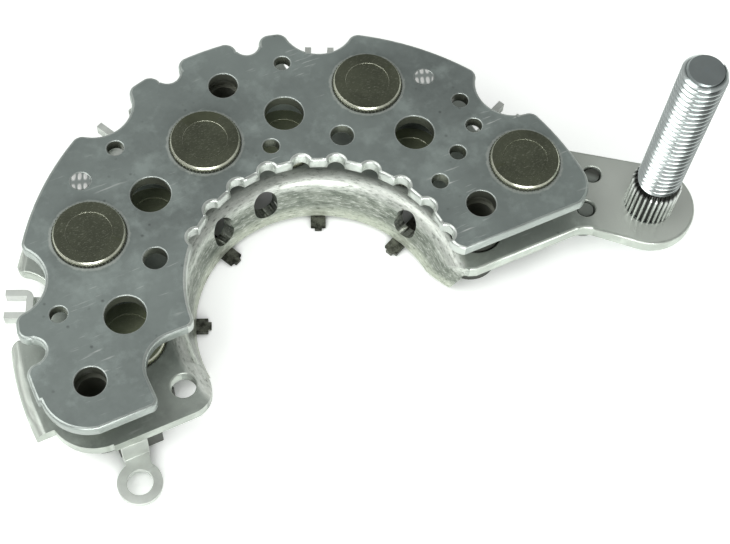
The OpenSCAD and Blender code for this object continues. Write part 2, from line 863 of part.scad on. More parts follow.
// Plan region between the moulding's two ends
module mould_region() {
    difference() {
        circle(r = mould_outer_r);
        circle(r = mould_inner_r);
        translate([0, -huge - 3])
            square([huge, huge]);
        translate([-huge, -huge - 4])
            square([huge, huge]);
        // Room for the uprights and clips of the phase terminals
        clip_room = clip_gap / 2 + clip_t + hole_clear;
        for (i = [0 : 3])
            rotate(phase_angles[i] + clip_off[i])
                translate([riser_r - fit, -clip_room])
                    square([huge, 2 * clip_room]);
    }
}

module mould_bays() {
    for (i = [0 : 3])
        translate(polar(low_diode_r, phase_angles[i] + low_diode_off[i]))
            circle(r = cup_r + bay_clear);
}

// Dark plastic carrier under the lower plate, with bosses, tubes, pillars and pegs
module terminal_moulding() {
    color([0.3, 0.31, 0.3])
        place()
            difference() {
                union() {
                    // Tray: a floor with rim walls along both arcs, up to the lower plate
                    difference() {
                        translate([0, 0, term_top])
                            linear_extrude(height = low_z - term_top)
                                difference() {
                                    mould_region();
                                    mould_bays();
                                }
                        translate([0, 0, term_top + mould_floor])
                            difference() {
                                cylinder(r = mould_outer_r - mould_wall, h = low_z);
                                translate([0, 0, -through])
                                    cylinder(r = mould_inner_r + mould_wall, h = low_z + 2 * through);
                            }
                    }
                    for (b = bolts)
                        translate(b) {
                            cylinder(r = boss_r, h = low_z);
                            cylinder(r = sleeve_r + neck_wall, h = low_top + tube_proud);
                        }
                    translate([0, 0, term_top])
                        for (i = [0 : 3])
                            translate(polar(top_diode_r[i], phase_angles[i] + top_diode_off[i]))
                                cylinder(r = tube_r, h = low_top + tube_proud - term_top);
                    translate([0, 0, term_top])
                        at_polar(rivets)
                            cylinder(r = pillar_r, h = top_z - term_top);
                    // Block that backs the regulator terminal
                    translate([block_left, -block_front, block_z])
                        cube([block_right - block_left, block_front - 3, low_z - block_z]);
                    // Arm under the stud's tab, with its two pegs
                    translate([0, 0, low_z - mould_floor])
                        linear_extrude(height = mould_floor) {
                            for (p = pegs)
                                translate(p)
                                    circle(r = peg_r + mould_wall);
                            peg_arm_outline();
                        }
                    for (p = pegs)
                        translate([p[0], p[1], low_z - mould_floor])
                            cylinder(r = peg_r, h = mould_floor + low_t - peg_sunk);
                }
                // Room for the collar of the lower plate
                translate([0, 0, lip_z - through])
                    cylinder(r1 = lip_back_r, r2 = collar_start_r + hole_clear, h = low_z - lip_z + through);
                for (b = bolts)
                    translate([b[0], b[1], -through])
                        cylinder(r = sleeve_r, h = top_z);
                for (i = [0 : 3])
                    translate(polar(top_diode_r[i], phase_angles[i] + top_diode_off[i]))
                        cylinder(r = tube_hole_r, h = top_z);
                at_polar(rivets)
                    cylinder(r = rivet_r, h = top_top);
                // Seat of the regulator terminal's folded end
                translate([reg_x - reg_w / 2 - fit, -block_front - through, low_z - reg_t - fit])
                    cube([reg_w + 2 * fit, through + 2.8 - reg_t + fit, reg_t + through]);
            }
}

// Plan of the arm that joins the pegs to the moulding
module peg_arm_outline() {
    w = peg_r + mould_wall;
    polygon([[mould_outer_r - mould_wall - 1, -3], [pegs[1][0], pegs[1][1] - w],
             [pegs[1][0] + w, pegs[1][1]], [pegs[0][0] + w, pegs[0][1]],
             [pegs[0][0], pegs[0][1] + w], polar(mould_outer_r - mould_wall / 2, 9)]);
}

// Metal sleeve of a mounting point, from the boss face up to the top plate
module mounting_sleeve(i) {
    color([0.55, 0.52, 0.42])
        place()
            translate(bolts[i])
                difference() {
                    cylinder(r = sleeve_r, h = top_z);
                    translate([0, 0, -through])
                        cylinder(r = bolt_r, h = top_z + 2 * through);
                    translate([0, 0, top_z - sleeve_mouth_h])
                        cylinder(r = sleeve_mouth_r, h = sleeve_mouth_h + through);
                }
}

// Output stud pressed through the tab from below, with a splined collar above it
module b_plus_stud() {
    chamfer = 0.8;
    seat_r = stud_collar_r - spline_d - valley_step;
    color([0.82, 0.83, 0.8])
        place()
            translate(stud) {
                translate([0, 0, low_z - stud_head_h])
                    cylinder(r = stud_head_r, h = stud_head_h);
                translate([0, 0, low_z])
                    cylinder(r = seat_r, h = low_t);
                translate([0, 0, low_top])
                    linear_extrude(height = stud_collar_h - chamfer)
                        knurl_outline(stud_collar_r, spline_d, stud_splines);
                translate([0, 0, low_top + stud_collar_h - chamfer])
                    cylinder(r1 = seat_r, r2 = stud_r, h = chamfer);
                translate([0, 0, low_top + stud_collar_h])
                    cylinder(r = stud_r, h = stud_l - stud_collar_h - chamfer);
                translate([0, 0, low_top + stud_l - chamfer])
                    cylinder(r1 = stud_r, r2 = stud_r - chamfer, h = chamfer);
            }
}

// Two rivets that hold plates and moulding together, flush on top
module plate_rivets() {
    foot_h = term_top - fit;
    color([0.85, 0.86, 0.84])
        place()
            at_polar(rivets) {
                translate([0, 0, term_top - foot_h])
                    cylinder(r = rivet_foot_r, h = foot_h);
                translate([0, 0, term_top])
                    cylinder(r = rivet_r, h = top_top - rivet_head_h - term_top);
                translate([0, 0, top_top - rivet_head_h])
                    cylinder(r1 = rivet_r, r2 = rivet_head_r, h = rivet_head_h);
            }
}

negative_heat_sink();
positive_heat_sink();
top_diode(0);  // top_diode_1
top_diode(1);  // top_diode_2
top_diode(2);  // top_diode_3
top_diode(3);  // top_diode_4
top_seal(0);  // top_seal_1
top_seal(1);  // top_seal_2
top_seal(2);  // top_seal_3
top_seal(3);  // top_seal_4
top_lead(0);  // top_lead_1
top_lead(1);  // top_lead_2
top_lead(2);  // top_lead_3
top_lead(3);  // top_lead_4
lower_diode(0);  // lower_diode_1
lower_diode(1);  // lower_diode_2
lower_diode(2);  // lower_diode_3
lower_diode(3);  // lower_diode_4
lower_seal(0);  // lower_seal_1
lower_seal(1);  // lower_seal_2
lower_seal(2);  // lower_seal_3
lower_seal(3);  // lower_seal_4
lower_lead(0);  // lower_lead_1
lower_lead(1);  // lower_lead_2
lower_lead(2);  // lower_lead_3
lower_lead(3);  // lower_lead_4
phase_terminal(0);  // phase_terminal_1
phase_terminal(1);  // phase_terminal_2
phase_terminal(2);  // phase_terminal_3
phase_terminal(3);  // phase_terminal_4
regulator_terminal();
terminal_moulding();
mounting_sleeve(0);  // mounting_sleeve_1
mounting_sleeve(1);  // mounting_sleeve_2
mounting_sleeve(2);  // mounting_sleeve_3
b_plus_stud();
plate_rivets();
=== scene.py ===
import math

import bmesh
import bpy
from mathutils import Matrix, Vector


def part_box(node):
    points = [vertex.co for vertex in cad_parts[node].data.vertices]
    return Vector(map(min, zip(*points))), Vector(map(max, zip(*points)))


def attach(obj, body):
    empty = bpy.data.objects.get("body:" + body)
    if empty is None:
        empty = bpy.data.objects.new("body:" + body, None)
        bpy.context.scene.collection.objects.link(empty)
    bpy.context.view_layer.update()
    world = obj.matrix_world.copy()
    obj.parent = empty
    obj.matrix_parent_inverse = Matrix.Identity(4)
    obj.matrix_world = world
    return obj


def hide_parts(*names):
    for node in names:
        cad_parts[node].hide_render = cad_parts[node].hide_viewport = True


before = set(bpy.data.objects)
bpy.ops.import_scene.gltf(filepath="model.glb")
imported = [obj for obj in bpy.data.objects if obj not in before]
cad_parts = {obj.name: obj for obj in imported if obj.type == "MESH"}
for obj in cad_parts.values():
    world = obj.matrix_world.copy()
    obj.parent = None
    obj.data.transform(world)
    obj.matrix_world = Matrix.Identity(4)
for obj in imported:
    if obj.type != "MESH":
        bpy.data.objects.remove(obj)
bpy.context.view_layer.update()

# Upper heat sink
# The upper heat sink is one sheet of aluminium, 2.5 mm thick, die-cut with bites along its
# inner edge. The die leaves a bright rolled rim round the outline and round every hole.

# AXIS is the shaft's place in plan. A face whose normal has less Z than STEEP is a wall
MM = 0.001
AXIS = (-9.0 * MM, -17.54 * MM)
BITES_OUT = 26.5 * MM
WELD = 2e-6
STEEP = 0.5
SHEET, RIM, OUTLINE, PUNCHED = range(4)


def nothing_selected():
    if bpy.context.object and bpy.context.object.mode != "OBJECT":
        bpy.ops.object.mode_set(mode="OBJECT")
    bpy.ops.object.select_all(action="DESELECT")


def take(piece):
    nothing_selected()
    piece.select_set(True)
    bpy.context.view_layer.objects.active = piece


def from_node(node, name):
    """A new piece with a CAD node's form, its loose triangles merged into whole faces."""
    piece = bpy.data.objects.new(name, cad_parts[node].data.copy())
    bpy.context.scene.collection.objects.link(piece)
    piece.data.materials.clear()
    take(piece)
    bpy.ops.object.mode_set(mode="EDIT")
    bpy.ops.mesh.select_all(action="SELECT")
    bpy.ops.mesh.remove_doubles(threshold=WELD)
    bpy.ops.mesh.dissolve_limited(angle_limit=math.radians(0.6), delimit={"NORMAL"})
    bpy.ops.object.mode_set(mode="OBJECT")
    return piece


def edge_loops(mesh, z, sharp):
    """Groups of joined sharp edges that lie at one height, the longest way round first."""
    found = [e for e in mesh.edges if e.is_manifold and e.calc_face_angle(0) > math.radians(sharp)
             and all(abs(v.co.z - z) < 1e-5 for v in e.verts)]
    left = set(found)
    groups = []
    while left:
        group, front = [], [left.pop()]
        while front:
            edge = front.pop()
            group.append(edge)
            for v in edge.verts:
                near = [e for e in v.link_edges if e in left]
                left.difference_update(near)
                front.extend(near)
        groups.append(group)
    return sorted(groups, key=lambda g: -sum(e.calc_length() for e in g))


def roll_rim(piece, z, outline_width, hole_width, rim_slot, segments, wall_slot=None):
    """Rounds a plate's edges at one height: the outline by one width, the holes by another."""
    for holes, width in ((False, outline_width), (True, hole_width)):
        take(piece)
        bpy.ops.object.mode_set(mode="EDIT")
        bpy.ops.mesh.select_mode(type="EDGE")
        bpy.ops.mesh.select_all(action="DESELECT")
        shape = bmesh.from_edit_mesh(piece.data)
        loops = edge_loops(shape, z, 40)
        for edge in [e for group in (loops[1:] if holes else loops[:1]) for e in group]:
            edge.select = True
            for face in edge.link_faces:
                if holes and wall_slot is not None and abs(face.normal.z) < STEEP:
                    face.material_index = wall_slot
        bmesh.update_edit_mesh(piece.data)
        bpy.ops.mesh.bevel(offset=width, segments=segments, affect="EDGES", clamp_overlap=False,
                           material=rim_slot)
        bpy.ops.mesh.select_all(action="DESELECT")
        bpy.ops.object.mode_set(mode="OBJECT")


def smooth(piece, angle=38):
    """Smooth shading on curved faces, while broad flat faces stay flat."""
    take(piece)
    bpy.ops.object.shade_smooth_by_angle(angle=math.radians(angle))
    broad = 3 * MM * MM
    for face in piece.data.polygons:
        if face.area > broad and max(abs(n) for n in face.normal) > 0.9999:
            face.use_smooth = False
    nothing_selected()


def coord_of(tree):
    return [n for n in tree.nodes if n.type == "TEX_COORD"][0]


def colour_of(shader):
    """What feeds the shader's colour now, so that more can be laid over it."""
    return shader.inputs["Base Color"].links[0].from_socket


def shaded(base, share):
    """A colour made darker or lighter by a share."""
    return tuple(min(1, c * share) for c in base)


def finish_of(name, base, metallic, roughness):
    """An empty finish: a Principled shader, its node tree and an Object coordinate."""
    made = bpy.data.materials.new(name)
    made.use_nodes = True
    tree = made.node_tree
    shader = tree.nodes["Principled BSDF"]
    shader.inputs["Base Color"].default_value = (*base, 1)
    shader.inputs["Metallic"].default_value = metallic
    shader.inputs["Roughness"].default_value = roughness
    coord = tree.nodes.new("ShaderNodeTexCoord")
    return made, tree, shader, coord


def noise(tree, vector, scale, detail, rough):
    node = tree.nodes.new("ShaderNodeTexNoise")
    node.inputs["Scale"].default_value = scale
    node.inputs["Detail"].default_value = detail
    node.inputs["Roughness"].default_value = rough
    tree.links.new(vector, node.inputs["Vector"])
    return node.outputs["Fac"]


def turned(tree, vector, angle, stretch):
    """Object coordinates turned about Z and stretched along one way, for lines."""
    node = tree.nodes.new("ShaderNodeMapping")
    node.inputs["Rotation"].default_value = (0, 0, math.radians(angle))
    node.inputs["Scale"].default_value = stretch
    tree.links.new(vector, node.inputs["Vector"])
    return node.outputs["Vector"]


def span(tree, value, low, high, to_low=0.0, to_high=1.0):
    node = tree.nodes.new("ShaderNodeMapRange")
    node.inputs["From Min"].default_value = low
    node.inputs["From Max"].default_value = high
    node.inputs["To Min"].default_value = to_low
    node.inputs["To Max"].default_value = to_high
    tree.links.new(value, node.inputs["Value"])
    return node.outputs["Result"]


def maths(tree, what, a, b=None):
    node = tree.nodes.new("ShaderNodeMath")
    node.operation = what
    for k, v in enumerate((a, b)):
        if v is None:
            continue
        if isinstance(v, (int, float)):
            node.inputs[k].default_value = v
        else:
            tree.links.new(v, node.inputs[k])
    return node.outputs["Value"]


def times(tree, value, share):
    return maths(tree, "MULTIPLY", value, share)


def blend_colour(tree, share, a, b):
    node = tree.nodes.new("ShaderNodeMix")
    node.data_type = "RGBA"
    tree.links.new(share, node.inputs["Factor"])
    for key, v in (("A", a), ("B", b)):
        socket = [s for s in node.inputs if s.name == key and s.type == "RGBA"][0]
        if isinstance(v, tuple):
            socket.default_value = (*v, 1)
        else:
            tree.links.new(v, socket)
    return [s for s in node.outputs if s.type == "RGBA"][0]


def bump(tree, shader, height, strength, distance):
    node = tree.nodes.new("ShaderNodeBump")
    node.inputs["Strength"].default_value = strength
    node.inputs["Distance"].default_value = distance
    tree.links.new(height, node.inputs["Height"])
    tree.links.new(node.outputs["Normal"], shader.inputs["Normal"])


def sheet_finish(name, base, metallic, rough_low, rough_high, scratch, pit, grain):
    """Aluminium sheet: cloudy tone, short scratches two ways, small pits and a fine grain."""
    made, tree, shader, coord = finish_of(name, base, metallic, rough_low)
    at = coord.outputs["Object"]
    cloud = noise(tree, at, 45, 5, 0.6)
    speck = noise(tree, at, 700, 3, 0.6)
    one_way = noise(tree, turned(tree, at, 24, (190, 1800, 190)), 1, 2, 0.5)
    other_way = noise(tree, turned(tree, at, -51, (150, 1600, 150)), 1, 2, 0.5)
    line_a = span(tree, one_way, 0.645, 0.745)
    line_b = span(tree, other_way, 0.655, 0.765)
    worn = span(tree, noise(tree, at, 90, 3, 0.5), 0.5, 0.66)
    lines = times(tree, maths(tree, "MAXIMUM", line_a, line_b), worn)
    cells = tree.nodes.new("ShaderNodeTexVoronoi")
    cells.inputs["Scale"].default_value = 420
    tree.links.new(at, cells.inputs["Vector"])
    pits = times(tree, span(tree, cells.outputs["Distance"], 0.16, 0.06),
                 span(tree, noise(tree, at, 160, 2, 0.5), 0.52, 0.6))
    light = shaded(base, 1.22)
    patch = noise(tree, at, 190, 5, 0.65)
    tone = blend_colour(tree, span(tree, cloud, 0.33, 0.68), shaded(base, 0.8), light)
    tone = blend_colour(tree, span(tree, patch, 0.5, 0.68, 0, 0.7), tone, shaded(base, 1.6))
    tone = blend_colour(tree, span(tree, speck, 0.35, 0.75, 0, 0.4), tone, light)
    tone = blend_colour(tree, times(tree, lines, scratch), tone, (0.72, 0.75, 0.72))
    tone = blend_colour(tree, times(tree, pits, pit), tone, shaded(base, 0.35))
    tree.links.new(tone, shader.inputs["Base Color"])
    tree.links.new(span(tree, cloud, 0.3, 0.7, rough_low, rough_high), shader.inputs["Roughness"])
    worn_away = maths(tree, "ADD", times(tree, lines, 0.5), times(tree, pits, 0.9))
    height = maths(tree, "SUBTRACT", times(tree, speck, grain), worn_away)
    bump(tree, shader, height, 0.35, 0.00006)
    return made


def axis_radius(tree, coord, centre):
    """Distance of a point from an upright axis through a centre in plan."""
    place = tree.nodes.new("ShaderNodeMapping")
    place.inputs["Location"].default_value = (-centre[0], -centre[1], 0)
    tree.links.new(coord.outputs["Object"], place.inputs["Vector"])
    flat = tree.nodes.new("ShaderNodeVectorMath")
    flat.operation = "MULTIPLY"
    flat.inputs[1].default_value = (1, 1, 0)
    tree.links.new(place.outputs["Vector"], flat.inputs[0])
    length = tree.nodes.new("ShaderNodeVectorMath")
    length.operation = "LENGTH"
    tree.links.new(flat.outputs["Vector"], length.inputs[0])
    return length.outputs["Value"]


satin = sheet_finish("satin_aluminium_sheet", (0.2, 0.233, 0.219), 0.55, 0.42, 0.6, 0.85, 0.6, 0.8)
tree = satin.node_tree
shader = tree.nodes["Principled BSDF"]
coord = coord_of(tree)
tone = colour_of(shader)

# The press leaves a pale, ragged ring of raised metal round each diode
RING_OUT, RING_IN = 7.1 * MM, 6.75 * MM
grain = noise(tree, coord.outputs["Object"], 900, 3, 0.7)
ragged = times(tree, maths(tree, "SUBTRACT", grain, 0.5), 0.9 * MM)
for i in range(1, 5):
    lo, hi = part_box("top_diode_%d" % i)
    centre = ((lo[0] + hi[0]) / 2, (lo[1] + hi[1]) / 2)
    near = maths(tree, "ADD", axis_radius(tree, coord, centre), ragged)
    raised = span(tree, near, RING_OUT, RING_IN, 0, 0.4)
    tone = blend_colour(tree, raised, tone, (0.62, 0.66, 0.6))
tree.links.new(tone, shader.inputs["Base Color"])
outline_rim = sheet_finish("rolled_outline", (0.36, 0.4, 0.375), 0.7, 0.3, 0.45, 0.6, 0.3, 0.4)
bright_rim = sheet_finish("cut_rim", (0.55, 0.59, 0.55), 0.75, 0.26, 0.4, 0.5, 0.3, 0.3)
punched_wall = sheet_finish("punched_wall", (0.15, 0.163, 0.13), 0.7, 0.3, 0.45, 0.6, 0.3, 0.5)

upper = from_node("negative_heat_sink", "upper_heat_sink")
for made in (satin, bright_rim, outline_rim, punched_wall):
    upper.data.materials.append(made)
upper_lo, upper_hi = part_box("negative_heat_sink")
for face in upper.data.polygons:
    away = (face.center.xy - Vector(AXIS)).length
    cut = RIM if away < BITES_OUT else OUTLINE
    face.material_index = SHEET if abs(face.normal.z) > STEEP else cut
roll_rim(upper, upper_hi[2], 0.55 * MM, 0.2 * MM, OUTLINE, segments=4, wall_slot=PUNCHED)
for face in upper.data.polygons:
    away = (face.center.xy - Vector(AXIS)).length
    if face.material_index == OUTLINE and away < BITES_OUT:
        face.material_index = RIM
roll_rim(upper, upper_lo[2], 0.3 * MM, 0.2 * MM, RIM, segments=2)
smooth(upper)
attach(upper, "root")
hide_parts("negative_heat_sink")

# Lower heat sink
# The lower heat sink is drawn from the same sheet: its collar is bent down round the shaft
# opening and polished by the draw, and its flat parts stay satin like the upper plate. The
# collar's shoulder carries a painted highlight and its lip a painted reflection of the paper.

PLATE_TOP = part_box("positive_heat_sink")[1][2]
STUD = ((63.7 - 9.0) * MM, (-6.6 - 17.54) * MM)
COLLAR_MID, COLLAR_OUT = 25 * MM, 28 * MM


def height_of(tree, coord):
    split = tree.nodes.new("ShaderNodeSeparateXYZ")
    tree.links.new(coord.outputs["Object"], split.inputs["Vector"])
    return split.outputs["Z"]


def around(tree, coord, centre, stretch):
    """Coordinates along a ring: length round the axis, distance from it and height, stretched."""
    place = tree.nodes.new("ShaderNodeMapping")
    place.inputs["Location"].default_value = (-centre[0], -centre[1], 0)
    tree.links.new(coord.outputs["Object"], place.inputs["Vector"])
    split = tree.nodes.new("ShaderNodeSeparateXYZ")
    tree.links.new(place.outputs["Vector"], split.inputs["Vector"])
    join = tree.nodes.new("ShaderNodeCombineXYZ")
    turn = maths(tree, "ARCTAN2", split.outputs["Y"], split.outputs["X"])
    tree.links.new(times(tree, turn, COLLAR_MID * stretch[0]), join.inputs["X"])
    tree.links.new(times(tree, axis_radius(tree, coord, centre), stretch[1]), join.inputs["Y"])
    tree.links.new(times(tree, split.outputs["Z"], stretch[2]), join.inputs["Z"])
    return join.outputs["Vector"]


low_sheet = sheet_finish("drawn_aluminium_sheet", (0.31, 0.345, 0.31),
                         0.65, 0.32, 0.5, 0.55, 0.4, 0.4)
tree = low_sheet.node_tree
shader = tree.nodes["Principled BSDF"]
coord = coord_of(tree)
flat_tone = colour_of(shader)
radius = axis_radius(tree, coord, AXIS)
z = height_of(tree, coord)
streak = noise(tree, around(tree, coord, AXIS, (260, 800, 800)), 1, 5, 0.7)
fine = noise(tree, around(tree, coord, AXIS, (700, 2600, 2600)), 1, 4, 0.7)
wobble = times(tree, maths(tree, "SUBTRACT", streak, 0.5), 2.6 * MM)
wall = span(tree, radius, 27.6 * MM, 26.6 * MM)
level = maths(tree, "ADD", z, wobble)
# Painted highlight: a pale band up the collar's shoulder. Painted reflection of the paper: a pale
# band round its lip.
shoulder_highlight = span(tree, level, 7.4 * MM, 9.2 * MM)
lip_reflection = span(tree, level, 4.2 * MM, 2.6 * MM)
drawn = blend_colour(tree, span(tree, streak, 0.36, 0.64), (0.13, 0.155, 0.125), (0.34, 0.37, 0.32))
drawn = blend_colour(tree, times(tree, lip_reflection, 0.8), drawn, (0.56, 0.6, 0.5))
drawn = blend_colour(tree, times(tree, shoulder_highlight, 0.75), drawn, (0.72, 0.76, 0.7))
drawn = blend_colour(tree, span(tree, fine, 0.54, 0.68, 0, 0.5), drawn, (0.9, 0.92, 0.87))
drawn = blend_colour(tree, span(tree, fine, 0.46, 0.34, 0, 0.7), drawn, (0.12, 0.14, 0.11))
# The flat sheet is painted paler near the stud, from 13 mm in to 8 mm from its axis.
by_stud = maths(tree, "ADD", axis_radius(tree, coord, STUD), wobble)
paler_near_stud = span(tree, by_stud, 13 * MM, 8 * MM, 0, 0.8)
flat_tone = blend_colour(tree, paler_near_stud, flat_tone, (0.56, 0.6, 0.55))
# Painted highlight on the flat sheet's outer edge, from 52.2 mm out from the shaft.
outer_edge_highlight = span(tree, radius, 52.2 * MM, 53.4 * MM, 0, 0.6)
flat_tone = blend_colour(tree, outer_edge_highlight, flat_tone, (0.62, 0.66, 0.6))
tree.links.new(blend_colour(tree, wall, flat_tone, drawn), shader.inputs["Base Color"])
ripple = maths(tree, "ADD", times(tree, streak, 1.4), times(tree, fine, 0.6))
bump(tree, shader, times(tree, ripple, span(tree, wall, 0, 1, 0.25, 1)), 0.5, 0.00012)
low_rim = sheet_finish("drawn_rim", (0.46, 0.5, 0.45), 0.75, 0.28, 0.42, 0.6, 0.3, 0.4)

lower = from_node("positive_heat_sink", "lower_heat_sink")
lower.data.materials.append(low_sheet)
lower.data.materials.append(low_rim)
for face in lower.data.polygons:
    away = (face.center.xy - Vector(AXIS)).length
    cut = abs(face.normal.z) < STEEP and away > COLLAR_OUT
    face.material_index = RIM if cut else SHEET
roll_rim(lower, PLATE_TOP, 0.5 * MM, 0.25 * MM, RIM, segments=3)
smooth(lower, 42)

# The drawn skin follows the die's own bend, so its shading takes the die's slope at each point
BEND = (27.0 * MM, 7.5 * MM)
BEND_OUT = 27.2 * MM
LEAN = math.radians(12.92)
QUARTER = math.pi / 2
ON_THE_SKIN = 0.8


def die_slope(point):
    """The way that the die's surface faces beside a point of the collar."""
    flat = Vector((point.x - AXIS[0], point.y - AXIS[1], 0))
    turn = math.atan2(point.z - BEND[1], flat.length - BEND[0])
    turn = QUARTER if abs(turn) < QUARTER else min(turn % (4 * QUARTER), 2 * QUARTER - LEAN)
    return flat.normalized() * math.cos(turn) + Vector((0, 0, math.sin(turn)))


# Faces that turn away from the die's slope are walls of holes and of the lip, and stay as they are
slopes = [corner.vector.copy() for corner in lower.data.corner_normals]
for face in lower.data.polygons:
    if (face.center.xy - Vector(AXIS)).length > BEND_OUT:
        continue
    for k in face.loop_indices:
        slope = die_slope(lower.data.vertices[lower.data.loops[k].vertex_index].co)
        lies = slope.dot(face.normal)
        if abs(lies) > ON_THE_SKIN:
            slopes[k] = slope if lies > 0 else -slope
lower.data.normals_split_custom_set(slopes)
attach(lower, "root")
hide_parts("positive_heat_sink")

# Press-fit diodes
# Each diode is a nickel-plated cup with a knurled band, pressed into its plate. The plating
# has gone olive on the flat face and is rubbed bright on the chamfer and on the teeth. The
# chamfer and the recess wall are also painted bright as a painted highlight, and the grooves
# between the teeth and the cup's side are painted dark as painted shade.

CUP_FACE, CUP_RECESS, CUP_RIM_HIGHLIGHT, CUP_TEETH, CUP_GROOVE_SHADE = range(5)
RECESS_R = 3.95 * MM
RIM_R = 6.27 * MM
TEETH_R = 6.4 * MM
CUP_SIDE = 1.0 * MM
CHAMFER = 0.93


def roll_edges(piece, width, segments, sharp=32):
    """Rounds every sharp edge of a piece that has one finish so far."""
    take(piece)
    bpy.ops.object.mode_set(mode="EDIT")
    bpy.ops.mesh.select_all(action="DESELECT")
    bpy.ops.mesh.select_mode(type="EDGE")
    bpy.ops.mesh.edges_select_sharp(sharpness=math.radians(sharp))
    bpy.ops.mesh.bevel(offset=width, segments=segments, affect="EDGES", clamp_overlap=True,
                       material=0)
    bpy.ops.mesh.select_all(action="DESELECT")
    bpy.ops.object.mode_set(mode="OBJECT")


def nickel(name, base, metallic, rough, speckle, scuffed):
    """Dull nickel: a cloudy tone under a crowd of short bright scuffs."""
    made, tree, shader, coord = finish_of(name, base, metallic, rough)
    at = coord.outputs["Object"]
    cloud = noise(tree, at, 160, 5, 0.6)
    tone = blend_colour(tree, span(tree, cloud, 0.3, 0.7), shaded(base, 0.78), shaded(base, 1.3))
    for angle, reach in ((33, 1900), (-48, 1700), (80, 2300)):
        lines = turned(tree, at, angle, (reach, reach * 3.2, reach))
        scuff = span(tree, noise(tree, lines, 1, 2, 0.5), 0.62, 0.74)
        tone = blend_colour(tree, times(tree, scuff, scuffed), tone, speckle)
    tree.links.new(tone, shader.inputs["Base Color"])
    dull = span(tree, cloud, 0.3, 0.7, rough - 0.06, rough + 0.08)
    tree.links.new(dull, shader.inputs["Roughness"])
    bump(tree, shader, noise(tree, at, 1400, 3, 0.6), 0.18, 0.00004)
    return made


def cup_slots(painted_light_share):
    """Face, recess, rubbed rim with a painted highlight, teeth, and grooves with painted shade; the
    lower row is a little paler, as painted light.
    """
    face = shaded((0.062, 0.07, 0.041), painted_light_share)
    recess = shaded((0.06, 0.067, 0.043), painted_light_share)
    scuff = (0.9, 0.92, 0.86)
    return [nickel("cup_face_%d" % painted_light_share, face, 0.5, 0.42, (0.3, 0.32, 0.24), 0.06),
            nickel("cup_recess_%d" % painted_light_share, recess, 0.5, 0.45, (0.36, 0.38, 0.3), 0.3),
            nickel("cup_rim_highlight_%d" % painted_light_share, (0.62, 0.64, 0.52), 0.85, 0.25, (0.9, 0.9, 0.84), 0.2),
            nickel("cup_teeth_%d" % painted_light_share, (0.62, 0.65, 0.57), 0.75, 0.3, scuff, 0.3),
            nickel("cup_groove_shade_%d" % painted_light_share, (0.05, 0.055, 0.04), 0.4, 0.5, (0.3, 0.32, 0.26), 0.1)]


def dress_cup(name, slots):
    lo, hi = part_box(name)
    centre = Vector(((lo[0] + hi[0]) / 2, (lo[1] + hi[1]) / 2))
    cup = from_node(name, name.replace("diode", "cup"))
    for slot in slots:
        cup.data.materials.append(slot)
    roll_edges(cup, 0.08 * MM, sharp=34, segments=2)
    for face in cup.data.polygons:
        out = (face.center.xy - centre).length
        # Painted shade: the grooves and the cup's side below its face take the dark groove finish;
        # leaning faces above it take the rim's painted highlight.
        if out > RIM_R or face.center.z < hi[2] - CUP_SIDE:
            face.material_index = CUP_TEETH if out > TEETH_R else CUP_GROOVE_SHADE
        elif abs(face.normal.z) < CHAMFER:  # leans too much to be the flat face
            face.material_index = CUP_RIM_HIGHLIGHT
        else:
            face.material_index = CUP_RECESS if out < RECESS_R else CUP_FACE
    smooth(cup, 50)
    for face in cup.data.polygons:
        if face.material_index in (CUP_TEETH, CUP_GROOVE_SHADE):
            face.use_smooth = False
    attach(cup, "root")
    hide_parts(name)


# The lower row, under the upper plate, is painted three times paler on its face and recess, as
# painted light.
for row, painted_light_share in (("top", 1), ("lower", 3)):
    slots = cup_slots(painted_light_share)
    for i in range(1, 5):
        dress_cup("%s_diode_%d" % (row, i), slots)

# Seals and leads
# Seals are black resin, moulded into the hollows of the cups. Each one holds its diode's lead,
# a tinned copper wire with a nail head.


def resin_finish(name, base, rough, grain):
    made, tree, shader, coord = finish_of(name, base, 0.0, rough)
    at = coord.outputs["Object"]
    cloud = noise(tree, at, 110, 5, 0.6)
    tone = blend_colour(tree, span(tree, cloud, 0.3, 0.7), shaded(base, 0.8), shaded(base, 1.25))
    tree.links.new(tone, shader.inputs["Base Color"])
    dull = span(tree, cloud, 0.3, 0.7, rough - 0.06, rough + 0.06)
    tree.links.new(dull, shader.inputs["Roughness"])
    bump(tree, shader, noise(tree, at, grain, 3, 0.65), 0.25, 0.00005)
    return made


def bright_finish(name, base, metallic, rough, drawn):
    """Plated metal: faint clouding, soft dull patches and a fine drawn grain."""
    made, tree, shader, coord = finish_of(name, base, metallic, rough)
    at = coord.outputs["Object"]
    cloud = noise(tree, at, 150, 5, 0.6)
    line = noise(tree, turned(tree, at, 15, drawn), 1, 3, 0.6)
    tone = blend_colour(tree, span(tree, cloud, 0.32, 0.7), shaded(base, 0.82), shaded(base, 1.1))
    tree.links.new(tone, shader.inputs["Base Color"])
    dull = span(tree, cloud, 0.3, 0.7, rough - 0.07, rough + 0.1)
    tree.links.new(dull, shader.inputs["Roughness"])
    grit = times(tree, noise(tree, at, 1200, 2, 0.5), 0.4)
    bump(tree, shader, maths(tree, "ADD", line, grit), 0.16, 0.00005)
    return made


seal_resin = resin_finish("seal_resin", (0.018, 0.018, 0.02), 0.45, 1500)
lead_wire = bright_finish("tinned_wire", (0.6, 0.6, 0.55), 0.85, 0.34, (400, 400, 2500))
for i in range(1, 5):
    for row in ("top", "lower"):
        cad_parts["%s_seal_%d" % (row, i)].material_slots[0].material = seal_resin
        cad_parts["%s_lead_%d" % (row, i)].material_slots[0].material = lead_wire

# Terminal moulding
# The carrier under the lower plate is glass-filled plastic, moulded in one piece with soft
# edges; its tubes and pillars keep the leads and rivets off the lower plate.

